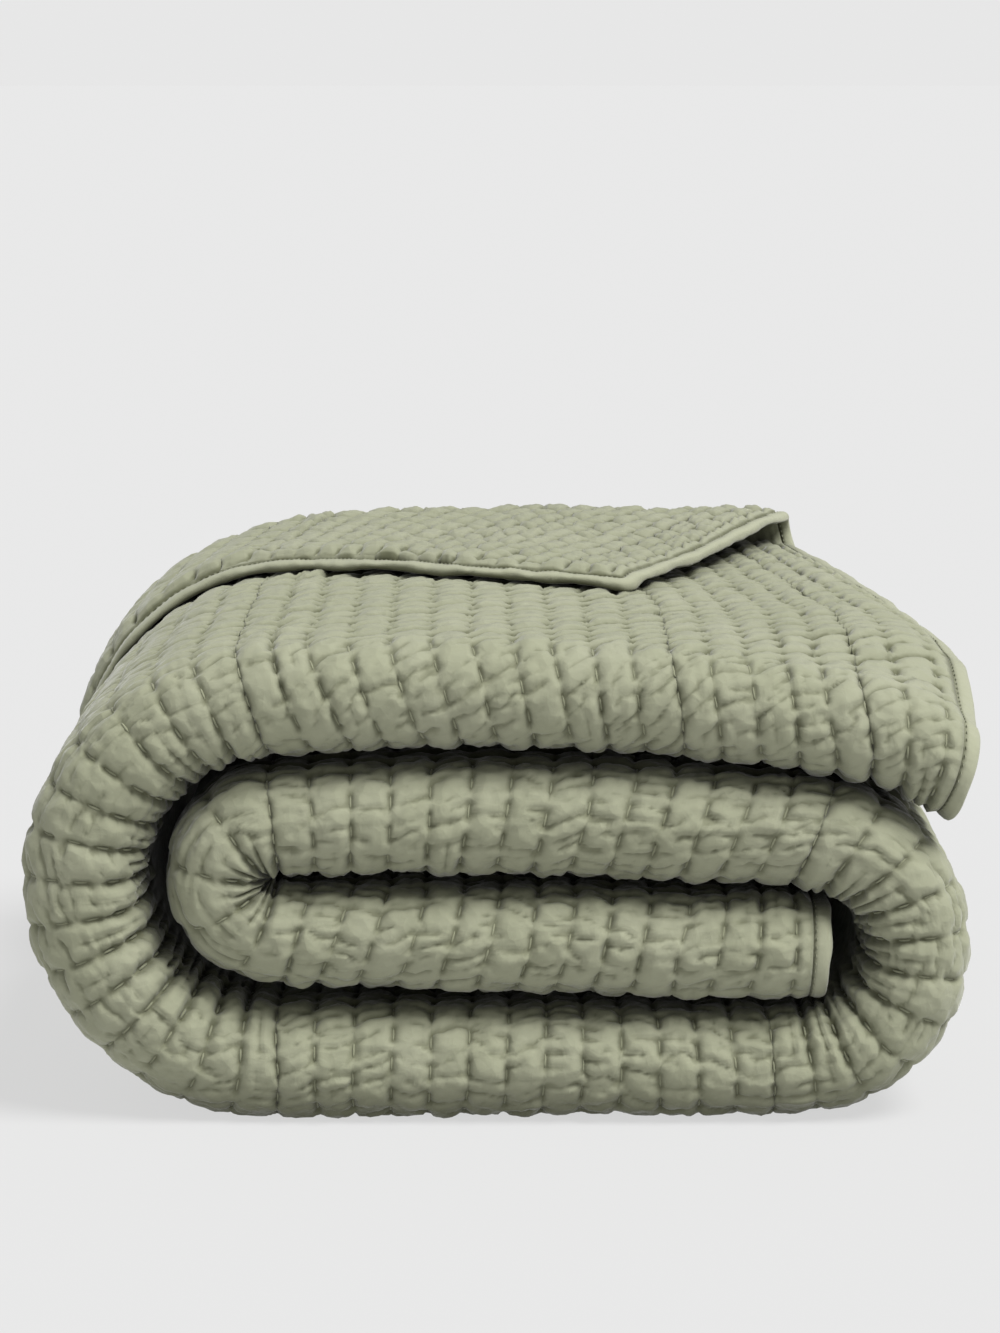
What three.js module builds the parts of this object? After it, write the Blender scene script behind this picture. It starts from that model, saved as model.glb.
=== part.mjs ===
import * as THREE from "three";

// A twin-size channel-stitched quilt, folded lengthwise into a strip and rolled up flat.
// Millimetres, +Z up. The rounded front fold of the strip faces -Y and the roll rests on z = 0.

// The quilt laid flat
const clothLength = 2280;
const clothWidth = 1730;
const channelCount = 90;
const bindingWidth = 13.3;
const seamGap = 0.9;
const cutSlack = 0.5;

// Half thickness of the cloth: on a padded channel, on a stitched line, and on its hidden faces
const puffHalf = 7;
const seamHalf = 4.2;
const hiddenHalf = 5.5;

// The front fold and the two back folds of the strip
const noseDepth = 30;
const foldRadius = 9;

// Centre line of the strip, seen from the front, from the inner end to the outer end: a row for each
// run and bend, with its turn in degrees and how far the strip reaches on its inner and outer side.
const rollTable = [
  { part: "inner run", length: 373, turn: -0.7, inner: 35.5, outer: 36.5 },
  { part: "inner bend", length: 104, turn: -175.3, inner: 32.7, outer: 36.6 },
  { part: "second run", length: 361, turn: -7.2, inner: 35.2, outer: 43.0 },
  { part: "right bend", length: 231, turn: -175.2, inner: 33.7, outer: 35.8 },
  { part: "bottom run", length: 356, turn: 0.0, inner: 37.5, outer: 39.5 },
  { part: "left bend", length: 369, turn: -174.5, inner: 39.0, outer: 41.0 },
  { part: "top run", length: 409, turn: -15.7, inner: 36.5, outer: 37.5 },
  { part: "drooping end", length: 77, turn: -34.0, inner: 33.0, outer: 36.0 },
];
const innerEndX = 220;
const innerHeading = 178.4;

// How the back is folded, at distances along the strip: depth of the back fold, width of the edge
// that is turned over on top, the lean of that flap, how far the cut end slants back by the fold, the
// radius of the loop in the fold, whether the flap lies on top (1) or is pressed into the strip (0),
// how far the upper layer rises behind the front fold, and how the cut end tips back with its height.
const backTable = [
  { at: 0, back: 548, turned: 140, lean: 0, slant: 0, loop: 9, lift: 0, rise: 0, tip: 0 },
  { at: 1430, back: 548, turned: 140, lean: 0, slant: 0, loop: 9, lift: 0, rise: 0, tip: 0 },
  { at: 1620, back: 544, turned: 146, lean: 0, slant: 0, loop: 9, lift: 0.6, rise: 0, tip: 0 },
  { at: 1785, back: 548, turned: 166, lean: 8, slant: 0, loop: 9, lift: 0.8, rise: 0, tip: 0 },
  { at: 1865, back: 552, turned: 192, lean: 15, slant: 4, loop: 9, lift: 1, rise: 0, tip: 0 },
  { at: 1975, back: 560, turned: 244, lean: 21, slant: 14, loop: 10, lift: 1, rise: 0, tip: 0 },
  { at: 2100, back: 572, turned: 306, lean: 23.5, slant: 38, loop: 12, lift: 1, rise: 0, tip: 0 },
  { at: 2280, back: 588, turned: 356, lean: 24, slant: 68, loop: 13, lift: 1, rise: 22, tip: 0.45 },
];
const slantFrom = 200;
const riseReach = 90;
// Where the upper layer sinks to make room for a pressed flap: its start and end before the flap's edge
const sinkStart = 75;
const sinkEnd = 15;

const stationStep = 2;
const rollSoftness = 12;
const backSoftness = 30;
const channelPitch = clothLength / channelCount;
const rollLength = rollTable.reduce((sum, row) => sum + row.length, 0);
const stationCount = Math.floor(rollLength / stationStep) + 1;

const radians = (degrees) => (degrees * Math.PI) / 180;
const mix = (a, b, t) => a + (b - a) * t;
const clamp01 = (t) => Math.min(1, Math.max(0, t));
const ease = (t) => clamp01(t) ** 2 * (3 - 2 * clamp01(t));

// Piecewise-linear value at a distance along the strip.
function along(places, values, at) {
  let k = 1;
  while (k < places.length - 1 && places[k] < at) k += 1;
  const share = (at - places[k - 1]) / (places[k] - places[k - 1]);
  return mix(values[k - 1], values[k], clamp01(share));
}

// The same values at every station, averaged over a number of stations each way.
function softened(places, values, reach = rollSoftness) {
  const raw = Array.from({ length: stationCount }, (_, i) => along(places, values, i * stationStep));
  return raw.map((_, i) => {
    let sum = 0;
    let weight = 0;
    for (let j = -reach; j <= reach; j += 1) {
      const w = 1 + Math.cos((Math.PI * j) / (reach + 1));
      sum += w * raw[Math.min(stationCount - 1, Math.max(0, i + j))];
      weight += w;
    }
    return sum / weight;
  });
}

const rowEnds = rollTable.map((_, i) => rollTable.slice(0, i + 1).reduce((sum, r) => sum + r.length, 0));
const rowMids = rollTable.map((row, i) => rowEnds[i] - row.length / 2);
const headingAtEnds = rollTable.reduce((list, row) => [...list, list.at(-1) + row.turn], [innerHeading]);
const heading = softened([0, ...rowEnds], headingAtEnds.map(radians));
const innerReach = softened(rowMids, rollTable.map((row) => row.inner));
const outerReach = softened(rowMids, rollTable.map((row) => row.outer));
const backPlaces = backTable.map((row) => row.at);
const backTrack = Object.fromEntries(
  ["back", "turned", "lean", "slant", "loop", "lift", "rise", "tip"].map((name) => [
    name,
    softened(backPlaces, backTable.map((row) => row[name]), backSoftness),
  ]),
);

// Centre line points, dropped so that the bottom run is pressed a little into the floor.
const centreX = [innerEndX];
const centreZ = [0];
for (let i = 1; i < stationCount; i += 1) {
  const middle = (heading[i - 1] + heading[i]) / 2;
  centreX.push(centreX[i - 1] + stationStep * Math.cos(middle));
  centreZ.push(centreZ[i - 1] + stationStep * Math.sin(middle));
}
const restingRun = rollTable.findIndex((row) => row.part === "bottom run");
const restStart = rowEnds[restingRun - 1];
const restEnd = rowEnds[restingRun];
const restMiddle = Math.round((restStart + restEnd) / 2 / stationStep);
const restPress = 2;
const floorDrop = centreZ[restMiddle] - outerReach[restMiddle] + restPress;
const restInset = 30;

const sample = (track, at) => {
  const place = Math.min(stationCount - 1.001, Math.max(0, at / stationStep));
  const i = Math.floor(place);
  return mix(track[i], track[i + 1], place - i);
};

// A point of the roll: distance along the strip, depth, and height off the centre line (outward +).
// The floor flattens whatever would reach below it.
function inSpace(at, depth, height) {
  const turn = sample(heading, at);
  const beyond = at - Math.min((stationCount - 1) * stationStep, Math.max(0, at));
  const x = sample(centreX, at) + beyond * Math.cos(turn) - height * Math.sin(turn);
  const z = sample(centreZ, at) + beyond * Math.sin(turn) + height * Math.cos(turn) - floorDrop;
  return new THREE.Vector3(x, depth, Math.max(0, z));
}

const lowerLevel = (at) => -(sample(innerReach, at) - puffHalf);
const upperLevel = (at) => sample(outerReach, at) - puffHalf;
const noseCentre = puffHalf + noseDepth;

// The places across the cloth at one distance along it, named by zone. Each returns the distance
// along the strip, the depth, the height, and the direction the outside of the front fold faces.
function zonesAt(place) {
  const read = (name) => sample(backTrack[name], place);
  const backCentre = read("back") - puffHalf - foldRadius;
  const loopCentre = read("back") - puffHalf - read("loop");
  const slantAt = (depth) => read("slant") * clamp01((depth - slantFrom) / (loopCentre - slantFrom));
  const leaning = radians(read("lean"));
  const noseLength = (Math.PI * (noseDepth + (upperLevel(place) - lowerLevel(place)) / 2)) / 2;
  const used = backCentre + loopCentre - 2 * noseCentre + noseLength + Math.PI * (foldRadius + read("loop"));
  const panelLength = clothWidth - used - read("turned");
  const flapEdge = loopCentre - read("turned") * Math.cos(leaning);
  const raised = (at, depth) =>
    upperLevel(at) + sample(backTrack.rise, at) * ease((depth - noseCentre) / riseReach);
  const sunk = (at) => 2 * foldRadius * (1 - sample(backTrack.lift, at));
  return {
    panelLength,
    tip: read("tip"),
    turned: read("turned"),
    panel: (q) => ({
      at: place,
      depth: backCentre - panelLength + q,
      height: lowerLevel(place) + 2 * foldRadius,
      normal: [0, 1],
    }),
    lowFold: (a) => ({
      at: place,
      depth: backCentre + foldRadius * Math.sin(a),
      height: lowerLevel(place) + foldRadius * (1 + Math.cos(a)),
      normal: [Math.sin(a), Math.cos(a)],
    }),
    under: (t) => ({
      at: place,
      depth: mix(backCentre, noseCentre, t),
      height: lowerLevel(place),
      normal: [0, -1],
    }),
    nose: (a) => ({
      at: place,
      depth: noseCentre - noseDepth * Math.sin(a),
      height: mix(lowerLevel(place), upperLevel(place), (1 - Math.cos(a)) / 2),
      normal: [-Math.sin(a), -Math.cos(a)],
    }),
    over: (t) => {
      const stops = [noseCentre, flapEdge - sinkStart, flapEdge - sinkEnd, loopCentre];
      const k = Math.min(2, Math.floor(t));
      const depth = mix(stops[k], stops[k + 1], t - k);
      const at = place - slantAt(depth);
      const sinking = clamp01((depth - stops[1]) / (sinkStart - sinkEnd));
      return { at, depth, height: raised(at, depth) - sunk(at) * sinking, normal: [0, 1] };
    },
    loop: (a) => {
      const at = place - slantAt(loopCentre);
      const height = raised(at, loopCentre) - sunk(at) + read("loop") * (1 - Math.cos(a));
      const depth = loopCentre + read("loop") * Math.sin(a);
      return { at, depth, height, normal: [-Math.sin(a), Math.cos(a)] };
    },
    flap: (q) => {
      const at = place - slantAt(loopCentre) - q * Math.sin(leaning);
      const fall = ease(q / (0.7 * read("turned")));
      const depth = loopCentre - q * Math.cos(leaning);
      const height = raised(at, depth) - sunk(at) + 2 * mix(read("loop"), foldRadius, fall);
      return { at, depth, height, normal: [0, -1] };
    },
  };
}

// Rows across the cloth, from the inner panel's edge to the flap's edge. The order counts the zones.
const arcRows = (zone, steps, order) =>
  Array.from({ length: steps - 1 }, (_, i) => ({
    order: order + (i + 1) / steps,
    where: (z) => z[zone]((Math.PI * (i + 1)) / steps),
  }));
const panelEdge = { order: 0, where: (z) => z.panel(bindingWidth) };
const panelBack = { order: 1, where: (z) => z.panel(z.panelLength) };
const underBack = { order: 2, where: (z) => z.under(0) };
const underFront = { order: 3, where: (z) => z.under(1) };
const overRows = [0, 1, 2, 2.5, 3].map((t) => ({ order: 4 + t, where: (z) => z.over(t) }));
const flapRows = [0, 0.5].map((t) => ({ order: 8 + t, where: (z) => z.flap(t * z.turned) }));
const flapEdge = { order: 9, where: (z) => z.flap(z.turned - bindingWidth) };
const lowFoldRows = (steps) => arcRows("lowFold", steps, 1);
const noseRows = (steps) => arcRows("nose", steps, 3);
const loopRows = (steps) => arcRows("loop", steps, 7);

const ribbed = (rows) => rows.map((row) => ({ ...row, ribs: true }));
const plain = (rows) => rows.map((row) => ({ ...row, ribs: false }));
const outsideRows = [
  ...plain([panelEdge, panelBack]),
  ...ribbed([...lowFoldRows(3), underBack]),
  ...ribbed([underFront, ...noseRows(8), ...overRows.slice(0, 3)]),
  ...plain([...overRows.slice(3), ...loopRows(3), ...flapRows]),
  ...ribbed([flapEdge]),
];
const insideRows = [
  ...plain([panelEdge, panelBack, ...lowFoldRows(3), underBack, underFront]),
  ...plain([...noseRows(3), ...overRows.slice(0, 4)]),
  ...ribbed([overRows[4], ...loopRows(5), ...flapRows, flapEdge]),
];

// Distances along the cloth for a row: each stitched line and, on a ribbed row, each channel between.
function placesAlong(ribs) {
  const from = bindingWidth + cutSlack;
  const to = clothLength - from;
  const step = ribs ? channelPitch / 2 : channelPitch;
  const places = [from];
  for (let i = 1; i * step < to; i += 1) {
    if (i * step > from + step / 4 && i * step < to - step / 4) places.push(i * step);
  }
  return [...places, to];
}

const onFloor = (at) =>
  ease((at - restStart) / restInset) * ease((restEnd - at) / restInset);

// Half thickness at a place: low on the stitched lines, and pressed flat where the quilt rests.
function halfThickness(place, at, ribs) {
  if (!ribs) return hiddenHalf;
  const crest = (1 - Math.cos((2 * Math.PI * place) / channelPitch)) / 2;
  return mix(mix(seamHalf, puffHalf, crest), puffHalf, onFloor(at));
}

const zoneCache = new Map();
function zones(place) {
  if (!zoneCache.has(place)) zoneCache.set(place, zonesAt(place));
  return zoneCache.get(place);
}

function offsetPoint(spot, off) {
  const [alongDepth, alongHeight] = spot.normal;
  const height = spot.height + off * alongHeight;
  return inSpace(spot.at - spot.tip * height, spot.depth + off * alongDepth, height);
}

// Geometry from points and triangles, turned to face outward.
function solid(points, triangles) {
  let volume = 0;
  const cross = new THREE.Vector3();
  for (const [a, b, c] of triangles) {
    volume += cross.crossVectors(points[b], points[c]).dot(points[a]);
  }
  const index = volume > 0 ? triangles : triangles.map(([a, b, c]) => [a, c, b]);
  const geometry = new THREE.BufferGeometry().setFromPoints(points);
  geometry.setIndex(index.flat());
  return geometry;
}

// Triangles between two rows of points that may be spaced differently.
function zip(rowA, rowB) {
  const triangles = [];
  let i = 0;
  let j = 0;
  while (i < rowA.length - 1 || j < rowB.length - 1) {
    const nextA = i < rowA.length - 1 ? rowA[i + 1].place : Infinity;
    const nextB = j < rowB.length - 1 ? rowB[j + 1].place : Infinity;
    if (nextA < nextB || (nextA === nextB && i <= j)) {
      triangles.push([rowA[i].index, rowA[i + 1].index, rowB[j].index]);
      i += 1;
    } else {
      triangles.push([rowA[i].index, rowB[j + 1].index, rowB[j].index]);
      j += 1;
    }
  }
  return triangles;
}

function quiltBody() {
  const points = [];
  const makeRow = (row, side) =>
    placesAlong(row.ribs).map((place) => {
      const spot = { ...row.where(zones(place)), tip: zones(place).tip };
      points.push(offsetPoint(spot, side * halfThickness(place, spot.at, row.ribs)));
      return { index: points.length - 1, place };
    });
  const outside = outsideRows.map((row) => makeRow(row, 1));
  const inside = insideRows.map((row) => makeRow(row, -1));
  const ring = [...outside, ...inside.toReversed()];
  const triangles = ring.flatMap((row, i) => zip(row, ring[(i + 1) % ring.length]));
  const endOf = (rows, made, end) =>
    rows.map((row, i) => ({ index: made[i].at(end).index, place: row.order }));
  triangles.push(...zip(endOf(outsideRows, outside, 0), endOf(insideRows, inside, 0)));
  triangles.push(...zip(endOf(insideRows, inside, -1), endOf(outsideRows, outside, -1)));
  return solid(points, triangles);
}

// The binding strip sewn round all four edges: its section, outward from the seam and across.
const bindingSection = [
  [seamGap, 3.9],
  [6.5, 5.8],
  [bindingWidth - 1, 3.2],
  [bindingWidth - 1, -3.2],
  [6.5, -5.8],
  [seamGap, -3.9],
];

function edgeBinding() {
  const farEnd = clothLength - bindingWidth;
  const endRows = [
    ...[panelEdge, panelBack, ...lowFoldRows(4), underBack, underFront],
    ...[...noseRows(8), ...overRows, ...loopRows(5), ...flapRows, flapEdge],
  ];
  const onFlap = (a) => (z) => z.flap(z.turned - bindingWidth + a);
  const onPanel = (a) => (z) => z.panel(bindingWidth - a);
  const stations = [
    ...placesAlong(true).map((place) => ({ edge: onFlap, place, past: 0 })),
    { edge: onFlap, place: farEnd, past: 1 },
    ...endRows.toReversed().map((row) => ({ edge: () => row.where, place: farEnd, past: 1 })),
    { edge: onPanel, place: farEnd, past: 1 },
    ...placesAlong(false).toReversed().map((place) => ({ edge: onPanel, place, past: 0 })),
    { edge: onPanel, place: bindingWidth, past: -1 },
    ...endRows.map((row) => ({ edge: () => row.where, place: bindingWidth, past: -1 })),
    { edge: onFlap, place: bindingWidth, past: -1 },
  ];
  const points = [];
  const rings = stations.map(({ edge, place, past }) =>
    bindingSection.map(([away, off]) => {
      const z = zones(place + past * away);
      points.push(offsetPoint({ ...edge(away)(z), tip: z.tip }, off));
      return points.length - 1;
    }),
  );
  const triangles = [];
  rings.forEach((ring, k) => {
    const next = rings[(k + 1) % rings.length];
    ring.forEach((a, i) => {
      const j = (i + 1) % ring.length;
      triangles.push([a, ring[j], next[i]], [ring[j], next[j], next[i]]);
    });
  });
  return solid(points, triangles);
}

const sage = { color: 0x9a9b7f, roughness: 0.92, metalness: 0 };
const sageEdge = { color: 0xa0a185, roughness: 0.9, metalness: 0 };
const bodyMesh = new THREE.Mesh(quiltBody(), new THREE.MeshStandardMaterial(sage));
bodyMesh.name = "quilt_body";
const bindingMesh = new THREE.Mesh(edgeBinding(), new THREE.MeshStandardMaterial(sageEdge));
bindingMesh.name = "edge_binding";

// The origin is under the middle of the folded quilt.
const box = new THREE.Box3().setFromObject(bodyMesh).union(new THREE.Box3().setFromObject(bindingMesh));
const middle = box.getCenter(new THREE.Vector3());
for (const mesh of [bodyMesh, bindingMesh]) {
  mesh.geometry.translate(-middle.x, -middle.y, 0);
  mesh.geometry.computeVertexNormals();
}

const quilt = new THREE.Group();
quilt.name = "stitched_quilt";
quilt.add(bodyMesh, bindingMesh);
export default quilt;
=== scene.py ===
import math

import bpy
import numpy as np
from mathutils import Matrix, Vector


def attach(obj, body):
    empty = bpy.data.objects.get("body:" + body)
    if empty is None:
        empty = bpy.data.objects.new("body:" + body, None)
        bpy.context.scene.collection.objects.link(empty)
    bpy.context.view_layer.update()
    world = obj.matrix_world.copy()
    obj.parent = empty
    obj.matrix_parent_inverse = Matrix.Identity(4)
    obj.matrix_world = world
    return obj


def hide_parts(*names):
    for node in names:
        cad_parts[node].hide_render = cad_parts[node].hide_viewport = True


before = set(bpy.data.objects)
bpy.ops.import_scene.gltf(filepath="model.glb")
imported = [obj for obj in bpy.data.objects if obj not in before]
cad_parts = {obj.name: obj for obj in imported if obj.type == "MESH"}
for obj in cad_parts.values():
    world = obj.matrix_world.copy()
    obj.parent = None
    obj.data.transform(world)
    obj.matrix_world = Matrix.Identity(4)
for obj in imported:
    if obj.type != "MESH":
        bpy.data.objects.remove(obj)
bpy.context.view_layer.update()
print("frame loaded:", ", ".join(sorted(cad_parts)))


# The roll, in millimetres as in the part's source: the strip's centre line from the inner end to
# the outer end, how far the strip reaches on both sides of it, and how the back edge turns over.
roll = {
    "clothLength": 2280,
    "clothWidth": 1730,
    "channels": 90,
    "bindingWidth": 13.3,
    "cutSlack": 0.5,  # the quilt's own end stands this far inside its binding
    "pressedHalf": 7,  # half thickness over a channel
    "noseDepth": 30,  # how far the front fold rounds out
    "foldRadius": 9,  # of the folds at the back
    "innerEndX": 220,
    "innerHeading": 178.4,  # degrees; the inner end runs left
    "step": 2,  # between the centre line's stations
    "rollSoftness": 12,  # stations over which one section passes into the next
    "backSoftness": 30,
    "slantFrom": 200,  # depth at which the upper layer starts to slant
    "riseReach": 90,
    "sinkStart": 75,  # the layer under the flap sinks from here to here, ahead of the flap's edge
    "sinkEnd": 15,
    "fallShare": 0.7,  # of the flap's width, until it lies flat
    "floorPress": 2,
    "flapSag": 4.5,  # the flap's edge lies down on the layer below
    "sagReach": 34,
    "middle": (-3.264, 292.823),  # the part's origin is under the middle of the folded quilt
    # name, length, turn in degrees, inner reach, outer reach
    "sections": [
        ("inner run", 373, -0.7, 35.5, 36.5),
        ("inner bend", 104, -175.3, 32.7, 36.6),
        ("second run", 361, -7.2, 35.2, 43.0),
        ("right bend", 231, -175.2, 33.7, 35.8),
        ("bottom run", 356, 0.0, 37.5, 39.5),
        ("left bend", 369, -174.5, 39.0, 41.0),
        ("top run", 409, -15.7, 36.5, 37.5),
        ("drooping end", 77, -34.0, 33.0, 36.0),
    ],
    # the place along the strip, then these columns
    "backColumns": ("back", "turned", "lean", "slant", "loop", "lift", "rise", "tip"),
    "backRows": [
        (0, 548, 140, 0, 0, 9, 0, 0, 0),
        (1430, 548, 140, 0, 0, 9, 0, 0, 0),
        (1620, 544, 146, 0, 0, 9, 0.6, 0, 0),
        (1785, 548, 166, 8, 0, 9, 0.8, 0, 0),
        (1865, 552, 192, 15, 4, 9, 1, 0, 0),
        (1975, 560, 244, 21, 14, 10, 1, 0, 0),
        (2100, 572, 306, 23.5, 38, 12, 1, 0, 0),
        (2280, 588, 356, 24, 68, 13, 1, 22, 0.45),
    ],
}

mm = 0.001
pitch = roll["clothLength"] / roll["channels"]
rollLength = sum(row[1] for row in roll["sections"])
stations = np.arange(0, rollLength + 0.5 * roll["step"], roll["step"], dtype=float)


def ease(t):
    t = np.clip(t, 0, 1)
    return t * t * (3 - 2 * t)


def mix(a, b, t):
    return a + (b - a) * t


def softened(places, values, reach):
    raw = np.interp(stations, places, values)
    window = 1 + np.cos(np.pi * np.arange(-reach, reach + 1) / (reach + 1))
    return np.convolve(np.pad(raw, reach, mode="edge"), window / window.sum(), mode="valid")


rowEnds = np.cumsum([row[1] for row in roll["sections"]])
rowMids = rowEnds - np.array([row[1] for row in roll["sections"]]) / 2
turns = np.concatenate([[0], np.cumsum([row[2] for row in roll["sections"]])])
heading = softened(
    np.concatenate([[0], rowEnds]), np.radians(roll["innerHeading"] + turns), roll["rollSoftness"]
)
innerReach = softened(rowMids, [row[3] for row in roll["sections"]], roll["rollSoftness"])
outerReach = softened(rowMids, [row[4] for row in roll["sections"]], roll["rollSoftness"])
backTrack = {
    name: softened(
        [row[0] for row in roll["backRows"]],
        [row[i + 1] for row in roll["backRows"]],
        roll["backSoftness"],
    )
    for i, name in enumerate(roll["backColumns"])
}
curving = np.gradient(heading, roll["step"])
midHeading = (heading[1:] + heading[:-1]) / 2
centreX = roll["innerEndX"] + np.concatenate([[0], np.cumsum(roll["step"] * np.cos(midHeading))])
centreZ = np.concatenate([[0], np.cumsum(roll["step"] * np.sin(midHeading))])
restStart, restEnd = rowEnds[3], rowEnds[4]
restMiddle = int(round((restStart + restEnd) / 2 / roll["step"]))
centreZ -= centreZ[restMiddle] - outerReach[restMiddle] + roll["floorPress"]


def track(values, at):
    return np.interp(at, stations, values)


# A point from its place along the strip, its depth and its height off the centre line
def inSpace(at, depth, height):
    turn = track(heading, at)
    beyond = at - np.clip(at, 0, stations[-1])
    x = track(centreX, at) + beyond * np.cos(turn) - height * np.sin(turn)
    z = track(centreZ, at) + beyond * np.sin(turn) + height * np.cos(turn)
    x = x - roll["middle"][0]
    y = depth - roll["middle"][1] + 0 * x
    return np.stack([x, y, np.maximum(z, 0)], axis=-1)


# Where each zone of the cloth starts, measured across it from the inner panel's edge
zoneNames = ("panel", "lowFold", "under", "nose", "overOpen", "overCovered", "loop", "flap", "edge")


def zoneStarts(s):
    row = {name: track(values, s) for name, values in backTrack.items()}
    row["lower"] = -(track(innerReach, s) - roll["pressedHalf"])
    row["upper"] = track(outerReach, s) - roll["pressedHalf"]
    row["noseCentre"] = roll["pressedHalf"] + roll["noseDepth"]
    row["backCentre"] = row["back"] - roll["pressedHalf"] - roll["foldRadius"]
    row["loopCentre"] = row["back"] - roll["pressedHalf"] - row["loop"]
    row["flapEdge"] = row["loopCentre"] - row["turned"] * np.cos(np.radians(row["lean"]))
    noseLength = np.pi * (roll["noseDepth"] + (row["upper"] - row["lower"]) / 2) / 2
    lengths = {
        "lowFold": np.pi * roll["foldRadius"] + 0 * s,
        "under": row["backCentre"] - row["noseCentre"],
        "nose": noseLength,
        "overOpen": row["flapEdge"] - row["noseCentre"],
        "overCovered": row["loopCentre"] - row["flapEdge"],
        "loop": np.pi * row["loop"],
        "flap": row["turned"],
    }
    start = {"panel": 0 * s, "lowFold": roll["clothWidth"] - sum(lengths.values())}
    for before, name in zip(zoneNames[1:], zoneNames[2:]):
        start[name] = start[before] + lengths[before]
    return row, start


# Scatter that is the same on each run; the salt keeps one use apart from another
def hashed(i, j, salt):
    n = (
        i.astype(np.int64) * 374761393 + j.astype(np.int64) * 668265263 + int(salt) * 974634777
    ) & 0xFFFFFFFF
    n = ((n ^ (n >> 13)) * 1274126177) & 0xFFFFFFFF
    n = ((n ^ (n >> 16)) * 2246822519) & 0xFFFFFFFF
    return ((n ^ (n >> 15)) & 0xFFFFFF) / float(0xFFFFFF)


def softNoise(x, y, salt):
    i, j = np.floor(x), np.floor(y)
    u, v = ease(x - i), ease(y - j)
    low = mix(hashed(i, j, salt), hashed(i + 1, j, salt), u)
    high = mix(hashed(i, j + 1, salt), hashed(i + 1, j + 1, salt), u)
    return 2 * mix(low, high, v) - 1


# Folded facets: distance to the nearest and the second nearest of scattered points, which keep off
# the edges of their squares
def facets(x, y, salt):
    i, j = np.floor(x), np.floor(y)
    first = np.full(x.shape, np.inf)
    second = np.full(x.shape, np.inf)
    for a in (-1, 0, 1):
        for b in (-1, 0, 1):
            px = i + a + 0.15 + 0.7 * hashed(i + a, j + b, salt)
            py = j + b + 0.15 + 0.7 * hashed(i + a, j + b, salt + 7)
            d = np.hypot(x - px, y - py)
            second = np.minimum(np.maximum(first, d), second)
            first = np.minimum(first, d)
    return first, second


# The sewing, in millimetres: running stitches along each line, half a step apart on the two faces
sewing = {
    "spacing": 18.3,
    "stitch": 7.6,
    "jitter": 2.6,
    "wander": 1.6,  # of the whole line, and how fast along and across the cloth
    "wanderSize": (34, 31),
    # how the lines lean over the front fold: place along the strip, and how far a line's upper end
    # is ahead of its lower end, both fading near the cloth's two ends
    "leans": [
        (0, 0), (60, 10), (200, 14), (330, 22), (420, 0), (520, 0), (640, 12), (800, 26),
        (880, 10), (980, 0), (1100, -8), (1250, 4), (1400, 0), (1500, 0), (1760, -8),
        (1850, -26), (1980, -18), (2100, -15), (2200, -6), (2280, 0),
    ],
    "leanFade": 60,
    "hiddenHalf": 5.2,  # half thickness where nothing shows
    "edgeHalf": 3.7,  # and at the sewn edges
    "edgeReach": 9.0,
}


# The channel at a place, how far across the channel that is, and the salt of the face
def channelAt(s, side):
    k = np.floor(s / pitch)
    return k, s / pitch - k, 100 if side > 0 else 200


def stitchPhase(k, side):
    return sewing["spacing"] * (hashed(k, 0 * k, 11) + (0.5 if side < 0 else 0))


def stitchCentre(k, near, side):
    jitter = sewing["jitter"] * (hashed(k, near, 12) - 0.5)
    return stitchPhase(k, side) + near * sewing["spacing"] + jitter


def fromStitch(k, w, side):
    near = np.round((w - stitchPhase(k, side)) / sewing["spacing"])
    return w - stitchCentre(k, near, side)


# The crumple of washed cotton, in millimetres
crumpling = {
    # where on a stitch a crease starts, its salt, and its share
    "creases": ((0.5, 3, 1), (-0.5, 20, 1), (1.2, 30, 0.6)),
    "creaseDepth": 3.1,
    "creaseWidth": 1.6,
    "creaseWander": 2.4,
    "wanderSize": (10, 12),
    "noneBelow": 0.05,  # of the scatter: no crease there
    "fullAfter": 0.6,
    "reach": (0.4, 1.1),  # of the channel, from one of its lines
    "reachFade": 0.3,
    "stepHeight": 1.5,  # one side of a crease stands higher
    "stepLow": 0.7,
    "stepWidth": 1.2,
    "stepReach": 5,
    "seamFade": 3,
    "facetSize": 12,
    "facetDepth": 2.0,
    "facetFold": 0.3,
    "foldWidth": 0.1,
    "facetBend": 0.4,
    "bendSize": 9,
    "fineSize": 5.5,
    "fineDepth": 0.4,
    # where the quilt lies open on top: one strong crease and one weak by turns
    "topDeeper": 1.9,
    "topWider": 2.2,
    "topFewer": 0.75,
    "topTurns": (0.3, 1.1),
    "topSlip": 0.4,
    "topLeast": 0.8,
    "topReach": 0.4,
    "topStep": 0.5,
    "topFolded": 0.55,
}


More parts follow.
